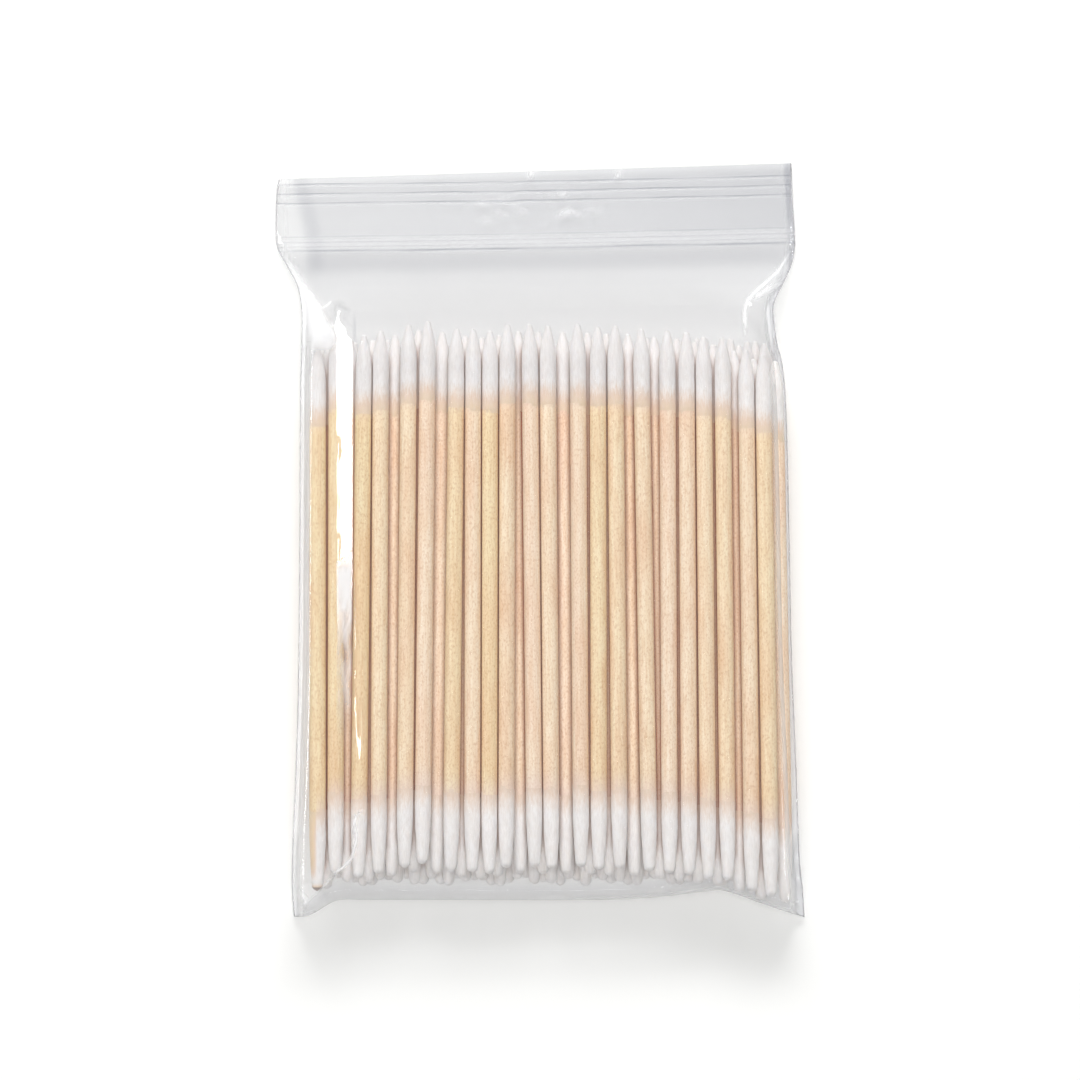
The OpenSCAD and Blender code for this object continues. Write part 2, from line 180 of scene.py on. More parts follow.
class FilmSettings(bpy.types.PropertyGroup):
    """Sizes and tint of the film"""
    lip: bpy.props.FloatProperty(
        name="Lip", description="Length of the lip beyond the closure in millimetres",
        default=9.5, min=4.0, max=20.0)
    wrinkle: bpy.props.FloatProperty(
        name="Wrinkles", description="Height of the film's fine wrinkles in millimetres",
        default=0.12, min=0.0, max=0.5)
    tint: bpy.props.StringProperty(
        name="Tint", description="What the thickest line of the film lets through",
        default="#D3D4D9")


class StageSettings(bpy.types.PropertyGroup):
    """The camera's view and the surroundings"""
    frame_w: bpy.props.FloatProperty(
        name="Width in view", description="Width that the camera sees, in metres",
        default=0.1454, unit="LENGTH")
    lens: bpy.props.FloatProperty(
        name="Lens", description="Focal length of the camera in millimetres", default=300.0)
    sky: bpy.props.FloatProperty(
        name="Sky", description="Strength of the white surroundings", default=0.27)


# Meshes

def lathe(profile, steps):
    """A closed solid turned round Y from (radius, y) points, with a UV map in millimetres."""
    bm = bmesh.new()
    verts = [bm.verts.new((r, y, 0)) for r, y in profile]
    edges = [bm.edges.new(pair) for pair in zip(verts, verts[1:])]
    bmesh.ops.spin(bm, geom=verts + edges, cent=(0, 0, 0), axis=(0, 1, 0), dvec=(0, 0, 0),
                   angle=2 * math.pi, steps=steps, use_merge=True)
    bmesh.ops.remove_doubles(bm, verts=bm.verts, dist=1e-4)
    bmesh.ops.recalc_face_normals(bm, faces=bm.faces)
    around = bm.loops.layers.uv.new("around")
    radius = max(r for r, _ in profile)
    for face in bm.faces:
        face.smooth = True
        middle = face.calc_center_median()
        turn = math.atan2(middle.z, middle.x)
        for loop in face.loops:
            co = loop.vert.co
            own = math.atan2(co.z, co.x) if co.xz.length > 1e-3 else turn
            own += 2 * math.pi * round((turn - own) / (2 * math.pi))
            loop[around].uv = (own * radius, co.y)
    return bm


def axis_matrix(line, roll):
    """Puts a turned solid, which stands round Y at the origin, on a swab's middle line."""
    middle = (line[0] + line[1]) / 2
    along = (line[0] - line[1]).normalized()
    side = Vector((0, 0, 1)).cross(along).normalized() * -1
    up = side.cross(along)
    turn = Matrix((side, along, up)).transposed().to_4x4()
    return Matrix.Translation(middle) @ turn @ Matrix.Rotation(roll, 4, "Y")


def new_object(name, bm, material):
    """An object of one material in the scene, from a mesh that is used up."""
    mesh = bpy.data.meshes.new(name)
    bm.to_mesh(mesh)
    bm.free()
    mesh.materials.append(material)
    obj = bpy.data.objects.new(name, mesh)
    bpy.context.scene.collection.objects.link(obj)
    return obj


def finish_object(name, bm, material, replaced=()):
    """Turns a mesh in millimetres into a piece that rides on the body and stands for its nodes."""
    bmesh.ops.scale(bm, vec=(MM,) * 3, verts=bm.verts)
    obj = new_object(name, bm, material)
    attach(obj, BODY)
    if replaced:
        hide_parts(*replaced)
    return obj


def groove_shade(co, near, wide):
    """Painted shade for a place lying deep between its swab and the ones beside it, from 0 to 1."""
    deepest = 0.0
    for line in near:
        middle = (line[0].y + line[1].y) / 2
        radius = STICK_R * math.sqrt(clamp((BUD_END - abs(co.y - middle)) / BUD_ROUND))
        gap = math.hypot(co.x - side_x(line, co.y), co.z - line[0].z) - radius
        deepest = max(deepest, clamp(GROOVE_SHADE_DEPTH * (1 - gap / wide)))
    return deepest ** 2


def add_copy(target, template, line, roll, tone, wide, shape=None, bare=None):
    """Adds a copy of a turned solid on a swab's middle line, with the swab's own tone."""
    part = template.copy()
    layers = {name: part.verts.layers.float.new(name) for name in ("tone", "groove_shade", "bare")}
    if shape:
        shape(part)
    bmesh.ops.transform(part, matrix=axis_matrix(line, roll), verts=part.verts)
    near = [other for other in ALL_LINES if other is not line
            and abs(other[0].x - line[0].x) < NEAR_X and abs(other[0].z - line[0].z) < NEAR_Z]
    for vert in part.verts:
        vert[layers["tone"]] = tone
        # Painted shade: each place's depth between neighbouring swabs, which darkens its colour
        vert[layers["groove_shade"]] = groove_shade(vert.co, near, wide)
        vert[layers["bare"]] = bare(vert.co) if bare else 0
    mesh = bpy.data.meshes.new("part")
    part.to_mesh(mesh)
    part.free()
    target.from_mesh(mesh)
    bpy.data.meshes.remove(mesh)


# Swabs

def half_length(settings, line):
    """Half of a swab's length, with the cotton beyond its wood."""
    return (line[0] - line[1]).length / 2 + settings.tip_cotton


def stick_template(settings, line, steps, rings):
    """A birch dowel with this many steps round it, whose ends taper inside the buds."""
    half = half_length(settings, line)
    r = settings.stick_d / 2
    start = half - settings.bud_l
    tip = half - settings.tip_cotton
    side = [(r, lerp(-start - 0.3, start + 0.3, i / rings)) for i in range(rings + 1)]
    return lathe([(0, -tip), (0.15, -tip), (r - 0.25, -start - 6), (r - 0.15, -start - 1)] + side
                 + [(r - 0.15, start + 1), (r - 0.25, start + 4), (0.15, tip), (0, tip)], steps)


def bud_profile(settings, half, point, end_r, curve, rings):
    """Half outline of the wound cotton, from its start on the wood to its end."""
    r = settings.stick_d / 2
    start = half - settings.bud_l
    shoulder = half - point
    end = half - end_r
    points = [(r - 0.09, start - 0.7), (r - 0.03, start - 0.35), (r + 0.015, start),
              (r + 0.02, start + 0.8), (r + 0.02, lerp(start, shoulder, 0.6))]
    for i in range(rings + 1):
        s = i / rings
        points.append((lerp(r + 0.02, end_r, s ** curve), lerp(shoulder, end, s)))
    for turn in (15, 30, 45, 60, 75):
        a = math.radians(turn)
        points.append((end_r * math.cos(a), end + (half - end) * math.sin(a)))
    return points + [(0, half)]


def bud_template(settings, line, sharp, steps, rings):
    """The cotton at one end of a swab: pointed towards the mouth, blunt towards the fold."""
    half = half_length(settings, line)
    point, end_r, curve = (4.6, 0.42, 1.7) if sharp else (8.0, 0.78, 1.8)
    profile = bud_profile(settings, half, point, end_r, curve, rings)
    profile.append((0, half - settings.bud_l - 0.7))
    if not sharp:
        profile = [(r, -y) for r, y in profile]
    return lathe(profile, steps)


def fray_shape(settings, seed):
    """Makes a bud's cotton uneven: long lumps that wind round it, and a loose end."""
    def shape(part):
        part.normal_update()
        for vert in part.verts:
            co = vert.co
            if co.xz.length < 0.02:
                continue
            turn = math.atan2(co.z, co.x)
            lumps = waves(math.cos(turn) * 0.9, co.y * 0.45, math.sin(turn) * 0.9 + seed)
            fine = waves(co.x * 2.6, co.y * 1.3 + seed, co.z * 2.6)
            vert.co += vert.normal * settings.fray * (0.9 * lumps + 0.6 * fine - 0.5)
    return shape


def peeled(line):
    """The leftmost swab's lower cotton has slipped: its left side is bare, its end scorched."""
    def bare(co):
        free = ease((side_x(line, co.y) - co.x) / 0.6) * ease((co.y - line[1].y) / 3)
        free *= ease(-co.y / 10)
        return free + 2 * ease((line[1].y - 0.1 - co.y) / 0.5)
    return bare


def swab_materials(settings):
    """The wood and the cotton of every swab."""
    return made("birch", birch, settings), made("wound_cotton", wound_cotton, settings)


class SWAB_OT_front(bpy.types.Operator):
    """Builds the front swabs, each with its own stick and its own pair of buds"""
    bl_idname = "swab.front"
    bl_label = "Front swabs"

    def execute(self, context):
        settings = context.scene.swab_settings
        line = FRONT_LINES[0]
        stick = stick_template(settings, line, steps=60, rings=18)
        ends = [bud_template(settings, line, sharp, steps=36, rings=18)
                for sharp in (True, False)]
        wood, cotton = swab_materials(settings)
        draw = random.Random(7)
        for i, line in enumerate(FRONT_LINES):
            roll, tone = draw.uniform(0, FULL_TURN), draw.random()
            if i < YELLOW_STICKS:
                tone = lerp(YELLOW_TONE, 1, tone)
            bm = bmesh.new()
            add_copy(bm, stick, line, roll, tone, FRONT_SHADE_REACH,
                     bare=peeled(line) if i == 0 else None)
            name = f"stick_{i + 1:02d}"
            finish_object(name, bm, wood, [f"front_{name}"])
            bm = bmesh.new()
            for k, end in enumerate(ends):
                add_copy(bm, end, line, roll, tone, FRONT_SHADE_REACH,
                         fray_shape(settings, i * 5.3 + k * 2.1),
                         peeled(line) if (i, k) == (0, 1) else None)
            name = f"buds_{i + 1:02d}"
            finish_object(name, bm, cotton, [f"front_{name}"])
        return {"FINISHED"}


class SWAB_OT_rear(bpy.types.Operator):
    """Builds the three rows of swabs behind the front ones"""
    bl_idname = "swab.rear"
    bl_label = "Rows behind"

    def execute(self, context):
        settings = context.scene.swab_settings
        wood, cotton = swab_materials(settings)
        draw = random.Random(11)
        for row, lines in ROW_LINES.items():
            fine = row == "second_row"
            steps = 32 if fine else 16
            stick = stick_template(settings, lines[0], steps, 6 if fine else 2)
            ends = [bud_template(settings, lines[0], sharp, steps, 8 if fine else 6)
                    for sharp in (True, False)]
            sticks, buds = bmesh.new(), bmesh.new()
            for i, line in enumerate(lines):
                roll, tone = draw.uniform(0, FULL_TURN), REAR_TONE * draw.random()
                add_copy(sticks, stick, line, roll, tone, REAR_SHADE_REACH)
                for k, end in enumerate(ends):
                    add_copy(buds, end, line, roll, tone, REAR_SHADE_REACH,
                             fray_shape(settings, i * 3.7 + k * 1.9))
            finish_object(f"{row}_wood", sticks, wood, [f"{row}_sticks"])
            finish_object(f"{row}_cotton", buds, cotton, [f"{row}_buds"])
        return {"FINISHED"}


# Film

class Curve:
    """A smooth curve through (place, value) points, which runs level beyond its ends."""

    STEP = 0.1

    def __init__(self, points):
        self.start = points[0][0]
        last = len(points) - 1
        slopes = []
        for i in range(last + 1):
            before, after = points[max(i - 1, 0)], points[min(i + 1, last)]
            slopes.append((after[1] - before[1]) / (after[0] - before[0]))
        self.values, k = [], 0
        count = int((points[-1][0] - self.start) / self.STEP) + 1
        for n in range(count + 1):
            t = min(self.start + n * self.STEP, points[-1][0])
            while k < last - 1 and t > points[k + 1][0]:
                k += 1
            (t0, v0), (t1, v1) = points[k:k + 2]
            s, h = (t - t0) / (t1 - t0), t1 - t0
            self.values.append(
                v0 * (1 + 2 * s) * (1 - s) ** 2 + slopes[k] * h * s * (1 - s) ** 2
                + v1 * s * s * (3 - 2 * s) - slopes[k + 1] * h * s * s * (1 - s))

    def __call__(self, t):
        n = min(max((t - self.start) / self.STEP, 0), len(self.values) - 1.001)
        k = int(n)
        return lerp(self.values[k], self.values[k + 1], n - k)


# The bag's left and right edges as (y, x), and its bottom fold as (x, y)
LEFT_EDGE = Curve((
    (-51.5, -33.2), (-46, -33.5), (-33, -33), (-20, -32.6), (0, -32.4), (20, -32.3),
    (28, -32.1), (31.6, -32.2), (34.6, -32.9), (37.4, -34.4), (39.2, -35.4), (41, -35.7),
    (47, -35.55), (50, -35.1)))
RIGHT_EDGE = Curve((
    (-51.5, 35.75), (-47.5, 35.5), (-43, 35), (-30, 34.5), (-15, 33.9), (5, 33.5),
    (19, 33.1), (24, 32.6), (26.5, 31.95), (29, 31.6), (31, 31.45), (32.5, 31.75),
    (35, 33), (36.8, 33.8), (38.5, 34.3), (40.4, 34.45), (45.8, 34.15), (51, 33.95)))
FOLD = Curve((
    (-34, -50.9), (-31.2, -50.7), (-27.6, -48.75), (-24, -48.6), (8, -48.6), (16, -48.2),
    (21.5, -47.55), (24, -47.25), (24.6, -47.3), (27, -48), (30.3, -49.2), (33.6, -50.3),
    (36, -51)))
# Right border of the glare at the left shoulder, and of the bent left end of the band, as (y, x)
GLARE_EDGE = Curve((
    (24, -29.6), (25.6, -28), (27.6, -28), (29.6, -29.2), (32.3, -30.6), (34.3, -32.2),
    (37.4, -34.3), (39, -36)))
BEND_EDGE = Curve(((34, -30.6), (41.7, -31.2), (47.8, -32.7), (50, -33.2)))

# The stiff fold at the left: where its flat flank starts, its crest, the flank's slope, and where
# the fold ends towards the mouth
FLANK_X = -27.4
CREST_X = -25.0
FLANK_SLOPE = 0.452
CREST_TOP = 31.3

# Room between the film and what it lies on, and half the room that two films keep
FILM_GAP, FILM_HALF = 0.1, 0.05

# Half width, half height and length steps of a weld's bead, and length steps of the closure
BEAD_X, BEAD_Z, BEAD_STEPS = 0.11, 0.07, 160
TRACK_STEPS = 40

# Raised lines of the band: distance from the closure's middle, half width, height
LINES = ((-0.9, 0.14, 0.09), (0.15, 0.1, 0.02), (1.05, 0.12, 0.03),
         (5.6, 0.12, 0.07), (6.87, 0.12, 0.07), (8.12, 0.12, 0.06))

# Sharp folds: the places that they run through, half width, height, and how white they are; the
# white is partly the folds' own whitening and partly painted glints
CREASES = (
    (((34, 39.4), (32.2, 36.3), (28.9, 33.3), (27.9, 32.2), (27.5, 30.6), (27.6, 27.6)),
     0.32, 0.3, 1),
    (((33, 35.1), (30.8, 33.6), (28.9, 32.7)), 0.5, 0.26, 0.7),
    (((-34.8, 38.2), (-32.3, 34.3), (-29.4, 30.4), (-28.2, 27.6)), 1, 0.4, 0.3),
    (((-33.8, 35), (-32.3, 33), (-30.8, 31)), 0.35, 0.2, 0),
    (((-27.4, 31.2), (-27.7, 28.5), (-27.5, 26)), 0.3, 0, 0.2),
    (((-23.8, -36.1), (-25, -37.7), (-24.6, -40.1), (-25.3, -42.8), (-26.6, -44.1),
      (-28, -44.9)), 0.3, 0.14, 0.8),
    (((-27, -44.4), (-30.2, -47.6), (-33.2, -50.4)), 0.35, 0.2, 0.35),
    (((-32.6, -46.6), (-31.4, -48.4), (-31.8, -50)), 0.3, 0.15, 0.7),
    (((24.2, -46.9), (29.5, -49), (35, -50.3)), 0.4, 0.15, 0.45),
    (((33.7, -48.9), (35, -48.8)), 0.3, 0.12, 0.8),
    (((-1.2, 50.4), (-1.3, 49.4), (-1.8, 48.2)), 0.4, 0.12, 0.55),
    (((10.9, 50.6), (10.7, 49.6), (10.2, 48.6)), 0.4, 0.12, 0.5),
)


def crease_at(places, width, x, y):
    """1 on a sharp fold's line, falling to 0 at its half width and towards its ends."""
    best = 0.0
    count = len(places) - 1
    for k in range(count):
        (x0, y0), (x1, y1) = places[k:k + 2]
        if min(x0, x1) - width < x < max(x0, x1) + width \
                and min(y0, y1) - width < y < max(y0, y1) + width:
            dx, dy = x1 - x0, y1 - y0
            s = clamp(((x - x0) * dx + (y - y0) * dy) / (dx * dx + dy * dy))
            off = math.hypot(x - x0 - s * dx, y - y0 - s * dy)
            end = (k + s) / count
            best = max(best, clamp(1 - off / width) * min(1, 5 * min(end, 1 - end) + 0.15))
    return best


class FilmForm:
    """Where the bag's film lies: its outline, and the height of its front and of its back."""

    def __init__(self, settings):
        self.lip = settings.lip
        self.wrinkle = settings.wrinkle
        # Along the bag: the swabs' ends, the closure, and where the film starts to come down and
        # is narrowest
        self.mouth_tip = max(line[0].y for line in FRONT_LINES) + TIP_COTTON
        self.low_tip = self.mouth_tip - SWAB_L
        self.zip_y = self.mouth_tip + 10.9
        self.shoulder = self.mouth_tip - 2.2
        self.waist = self.mouth_tip + 1.4
        # Heights: the swabs' top, the side welds, the closure, the bottom fold and the stiff fold
        self.top = max(line[0].z for line in FRONT_LINES) + STICK_R
        self.seam_z = self.top * 0.45
        self.zip_z = 0.85
        self.fold_z = 0.9
        self.flank_z = max(line[0].z for line in FRONT_LINES
                           if FLANK_X - 1.5 < line[0].x < CREST_X + 1.5) + STICK_R + FILM_GAP

    def closure(self, x):
        """Where the closure's middle crosses x."""
        return self.zip_y + 0.0185 * x + 0.00012 * x * x

    def mouth(self, x):
        """Where the bag's open end crosses x."""
        return self.zip_y + self.lip + 0.0311 * x

    def band_z(self, y):
        """Height of the flat band, which sinks a little towards the mouth."""
        return self.zip_z - 0.043 * (y - self.zip_y)

    def support(self, x, y):
        """Height of the film where it lies on the sticks and sags a little between them."""
        best = self.top - 0.35
        for line in FRONT_LINES:
            d = x - side_x(line, y)
            if abs(d) < 4:
                best = max(best, line[0].z + STICK_R - d * d / 24)
        return best + FILM_GAP

    def falling(self, x, y):
        """0 over the swabs and 1 where the film has come down to the closure."""
        return ease((y - self.shoulder) / (self.closure(x) - 2.4 - self.shoulder))

    def seam(self, x, y):
        """Height at which the two films meet at the sides."""
        if y > self.shoulder:
            return lerp(self.seam_z, self.band_z(y), self.falling(x, y))
        return lerp(self.fold_z, self.seam_z, ease((y - self.low_tip + 5) / 9))

    def rises(self, x, y):
        """How far the film has risen from its sides and from its fold, each from 0 to 1."""
        slack = bump((y - self.waist - 2.5) / 7)
        fin = ease((36 - y) / 5)
        left = (x - LEFT_EDGE(y) - 0.6 * fin) / (1.0 + 5.0 * slack)
        right = (RIGHT_EDGE(y) - x - fin) / (1.0 + 2.5 * slack)
        s = clamp(min(left, right))
        side = lerp(math.sqrt(max(0.0, 1 - (1 - s) ** 2)), ease(s), 0.4)
        foot = math.sqrt(max(0.0, 1 - (1 - clamp((y - FOLD(x)) / 1.8)) ** 2))
        return side, foot

    def crest(self, y):
        """Where the stiff fold's crest lies: it runs to a point at its upper end."""
        return lerp(CREST_X, FLANK_X + 0.3, clamp((y - 26.2) / (CREST_TOP - 26.2))) \
            + 0.06 * waves(0, y * 0.5, 7) + 0.8 * waves(0.4, y * 1.4, 3.3) * ease((y - 25) / 2)

    def flank_start(self, y):
        """Where the flat flank starts: a jagged line with one deeper notch."""
        ragged = 0.7 * waves(3.3, y * 0.5, 2.4) + 0.5 * waves(5.6, y * 1.9, 2.7)
        notch = 0.1 + 0.7 * bump((y - 12.1) / 1.5) + 0.35 * bump((y - 13.4) / 0.5)
        return FLANK_X + notch + ragged * ease((y + 5) / 3)

    def ridge(self, x, y, full):
        """The long stiff fold at the left, whose flat left flank mirrors the light."""
        crest = self.crest(y)
        if not FLANK_X - 1 < x < crest + 1.5 or y > CREST_TOP + 1:
            return full
        slope = FLANK_SLOPE * (1 - 0.4 * ease((-4 - y) / 12))
        stands = ease((CREST_TOP + 0.8 - y) / 1.2) * (1 - ease((-20 - y) / 16))
        over = crest - FLANK_X if x > crest else x - FLANK_X
        height = self.flank_z + slope * over
        if x > crest:
            height -= (height - full) * ease((x - crest) / 1.3)
        share = stands * clamp((x - self.flank_start(y)) / 0.12 + 1)
        return lerp(full, max(full, height), share)

    def crumple(self, x, y):
        """Wrinkles, strongest where the film is free of the swabs."""
        head = ease((y - self.shoulder) / 4)
        low = ease((self.low_tip + 3 - y) / 4)
        p = Vector((x * 0.28, y * 0.16, 3.0))
        broad = noise.noise(p) + 0.5 * abs(noise.noise(p * 2.7))
        return self.wrinkle * (broad * (0.15 + 0.85 * head + 0.6 * low)
                               + 1.8 * self.upright(x, y) * self.margin(x, y))

    def upright(self, x, y):
        """Fine wrinkles that run along the sides."""
        return waves(x * 1.6 + 0.5 * math.sin(y * 0.25), y * 0.09, 9.0)

    def margin(self, x, y):
        """1 on the film beside the swabs and 0 over them."""
        inside = min(x - LEFT_EDGE(y), RIGHT_EDGE(y) - x + 0.3)
        return ease((2.0 - inside) / 1.1)

    def offset(self, x, y):
        """Distance above the closure's middle, wavering as the extruded lines do."""
        free = y - self.closure(x)
        waver = 0.16 * bump((x + 5) / 11) * waves(x * 0.35, free * 0.4, 1.0)
        return free + waver * ease((free - 3) / 2) - 0.1 * waves(x * 0.1, free * 0.3, 4.0)

    def line_share(self, x, at):
        """A line is worn faint in places."""
        return 0.45 + 0.55 * clamp(0.5 + 1.4 * waves(x * 0.12, at * 3.0, 6.0))

    def lines(self, x, y):
        """The raised lines over the closure and on the lips."""
        offset = self.offset(x, y)
        if not -1.2 < offset < 8.4:
            return 0.0
        return sum(height * bump((offset - at) / wide) * self.line_share(x, at)
                   for at, wide, height in LINES)

    def height(self, x, y, front):
        """Height of the front film, or else of the back film."""
        side, foot = self.rises(x, y)
        full = self.support(x, y) if front else FILM_GAP
        if y > self.shoulder:
            s = self.falling(x, y)
            full, loose = lerp(full, self.band_z(y), s), 1 - 0.85 * s
        else:
            full, loose = lerp(self.fold_z, full, foot), foot
        extra = FILM_HALF + self.swell(x, y) + self.lines(x, y)
        if front:
            full = self.ridge(x, y, full + self.crumple(x, y) * loose)
            extra += loose * sum(height * crease_at(places, width, x, y)
                                 for places, width, height, _ in CREASES)
        spread = extra * side + self.apart(x, y)
        return lerp(self.seam(x, y), full, side) + (spread if front else -spread)

    def inside(self, x, y):
        """Distance from the nearer of the bag's two sides."""
        return min(x - LEFT_EDGE(y), RIGHT_EDGE(y) - x)

    def apart(self, x, y):
        """The two films lie loose on each other beside the swabs, and meet at the side welds."""
        return 0.04 * clamp(self.inside(x, y) / 0.3)

    def swell(self, x, y):
        """The films stand apart round the closure's rib and hooks."""
        return 0.45 * ease(1.9 - abs(y - self.closure(x)) / 1.25)

    def thick(self, x, y):
        """How much film the light crosses: little where it is drawn tight, most in a line. It also
        holds painted shade: a darker band below the closure where the band's shadow falls, and a
        darker strip above the bottom fold.
        """
        offset = self.offset(x, y)
        head = 0.16 * ease((y - self.shoulder + 3) / 5)
        # Painted shade: a darker strip above the bottom fold, where the film lies in shade
        low = 0.17 * ease((FOLD(x) + 3.4 - y) / 2)
        beside = (0.03 if x < 0 else 0.4) * self.margin(x, y)
        over_tips = 0.14 * ease((y - 18) / 6)
        # Painted shadow: a darker band just below the closure, where the band's shadow falls
        under = 0.12 * bump((offset + 2.6) / 2.2)
        band = 0.085 * ease((offset + 1.2) / 0.4) * (1 + x / 60)
        bent = 0.1 * (bump((x - BEND_EDGE(y) - 0.6) / 1.7) - ease((BEND_EDGE(y) - x) / 1.6))
        crest = 0.25 * bump((x - CREST_X) / 0.2) * ease((CREST_TOP - y) / 3) * ease((y + 28) / 10)
        total = 0.03 + max(head, low, beside, over_tips) + under + band \
            + bent * ease((y - 35) / 3) + crest + 9.0 * self.lines(x, y)
        # The painted highlight at the left shoulder takes the tint away
        return total * (1 - self.glare(x, y))

    def glare(self, x, y):
        """The left shoulder, painted as a blown-out highlight: there the film is milky white and
        untinted.
        """
        return ease((GLARE_EDGE(y) - x) / 2.2 + 0.6) * ease((y - 24.3) / 3.6) \
            * ease((39.2 - y) / 1.6)

    def white(self, x, y):
        """How milky the film is: where it has been folded sharply, rubbed or welded. It also holds
        painted
        light: the blown-out shoulder, glints on creases, wrinkles and lines, and the long
        reflection's end.
        """
        offset = self.offset(x, y)
        # Partly the folds' own whitening, partly painted glints along them
        creased = max(milk * crease_at(places, width, x, y) for places, width, _, milk in CREASES)
        # Painted highlight: the left shoulder is blown out to white milk
        glare = 0.95 * self.glare(x, y)
        # Painted light: milk lightens the film beside the swabs, and white streaks along its
        # wrinkles are painted glints
        margin = self.margin(x, y) * ((0.34 if x < 0 else 0.2) * ease((38 - y) / 6)
                                      + 0.7 * max(0.0, self.upright(x, y)))
        low = 0.1 * ease((FOLD(x) + 4 - y) / 2)
        rim = 0.15 * clamp(1 - self.inside(x, y) / 0.3)
        slack = 0.4 * ease((2.3 - (RIGHT_EDGE(y) - x)) / 0.7) * ease((27 - y) / 8)
        fold = 0.5 * bump((y - FOLD(x) - 0.45) / 0.16) * ease((x - 1) / 6)
        ear = 0.22 * ease((-27.5 - x) / 3) * ease((-45.5 - y) / 1.5)
        zipped = 0.2 * ease((offset + 0.9) / 0.3) * ease((1.2 - offset) / 0.3)
        # Painted glints: a thin white line beside each high raised line
        beside = 0.0
        if -1.6 < offset < 8.6:
            beside = sum(0.3 * bump((offset - at + 0.26) / 0.14) * self.line_share(x, at)
                         for at, _, height in LINES if height > 0.05)
        rubbed = bump((x + 0.5) / 12) * bump((offset - 4.6) / 3.4) \
            * max(0.0, waves(x * 0.5, y * 0.8, 12) - 0.08) * 1.6
        # Below the long reflection its broken end is painted on the stiff fold as milky patches
        # that fade further down
        painted_reflection = 0.0
        if FLANK_X - 0.5 < x < CREST_X and y < 0:
            mottle = clamp(0.7 + 0.9 * waves(x * 1.4, y * 0.3, 15)
                           + 0.4 * waves(x * 4.0, y * 1.6, 21))
            start = -1.5 + 1.6 * waves(x * 1.7, y * 0.2, 4)
            fade = ease((start - y) / 2.5) * lerp(0.5, 1, ease((y + 15) / 8)) * ease((y + 28) / 12)
            painted_reflection = lerp(mottle, 1, ease((y + 11) / 6)) * fade \
                * ease((x - self.flank_start(y) + 0.1) / 0.4) * ease((CREST_X - 0.1 - x) / 0.4)
        return clamp(max(creased, glare, margin, slack, low, rim, fold, ear, zipped, beside,
                         rubbed, painted_reflection))


def stations(start, zones):
    """Places of grid lines from the start on: each zone is its length and number of faces."""
    places = [start]
    for length, count in zones:
        places += [start + length * (k + 1) / count for k in range(count)]
        start += length
    return places


def film_rows(form):
    """Where each row of the film's grid lies at a given x, from the fold to the mouth."""
    low = stations(0, [(6, 24), (64, 86), (17, 68)])
    band = stations(-1.5, [(2.8, 28), (3.9, 8), (3.2, 32)])
    lip = stations(0, [(1, 8)])
    rows = [(0, s / low[-1]) for s in low] + [(1, s) for s in band[1:]] + [(2, s) for s in lip[1:]]

    def place(row, x):
        kind, s = rows[row]
        if kind == 0:
            return lerp(FOLD(x), form.closure(x) + band[0], s)
        if kind == 1:
            return form.closure(x) + s
        return lerp(form.closure(x) + band[-1], form.mouth(x), s)

    return len(rows) - 1, place


def sweep(bm, places, section):
    """A thin solid along the places, with its section as (across, up) points round them."""
    ring = [bm.verts.new((0, *p)) for p in section]
    face = bm.faces.new(ring)
    rings = [ring]
    for _ in places[1:]:
        grown = bmesh.ops.extrude_face_region(bm, geom=[face])["geom"]
        face = [g for g in grown if isinstance(g, bmesh.types.BMFace)][0]
        rings.append([g for g in grown if isinstance(g, bmesh.types.BMVert)])
    for k, (group, place) in enumerate(zip(rings, places)):
        ahead = (Vector(places[min(k + 1, len(places) - 1)]) - Vector(places[max(k - 1, 0)]))
        side = Vector((0, 0, 1)).cross(ahead).normalized()
        for vert in group:
            vert.co = Vector(place) + side * vert.co.y + Vector((0, 0, vert.co.z))


class SWAB_OT_film(bpy.types.Operator):
    """Builds the bag's film as one skin, folded at the bottom and welded down its sides"""
    bl_idname = "swab.film"
    bl_label = "Film"

    def execute(self, context):
        settings = context.scene.film_settings
        form = FilmForm(settings)
        across = stations(0, [(9, 46), (50, 78), (9, 44)])
        across = [s / across[-1] for s in across]
        columns = len(across) - 1
        count, place = film_rows(form)
        bm = bmesh.new()
        bmesh.ops.create_grid(bm, x_segments=columns, y_segments=2 * count, size=0.5)
        thick = bm.verts.layers.float.new("thick")
        white = bm.verts.layers.float.new("white")
        for vert in bm.verts:
            u = across[round((vert.co.x + 0.5) * columns)]
            row = round((vert.co.y + 0.5) * 2 * count) - count
            # The rows depend on x and the edges on y, so both are worked out in turn from a guess
            x = lerp(-33, 33, u)
            for _ in range(3):
                y = place(abs(row), x)
                x = lerp(LEFT_EDGE(y), RIGHT_EDGE(y), u)
            vert.co = Vector((x, y, form.height(x, y, row >= 0)))
            # thick carries painted shade and white carries painted highlights, besides the film's
            # own tint and milk
            vert[thick] = form.thick(x, y)
            vert[white] = form.white(x, y) * (1 if row >= 0 else 0.5)
        bmesh.ops.remove_doubles(bm, verts=bm.verts, dist=1e-4)
        for face in bm.faces:
            face.smooth = True
        finish_object("film", bm, made("blown_ldpe_film", clear_film, settings),
                      ["bag_film"])
        return {"FINISHED"}


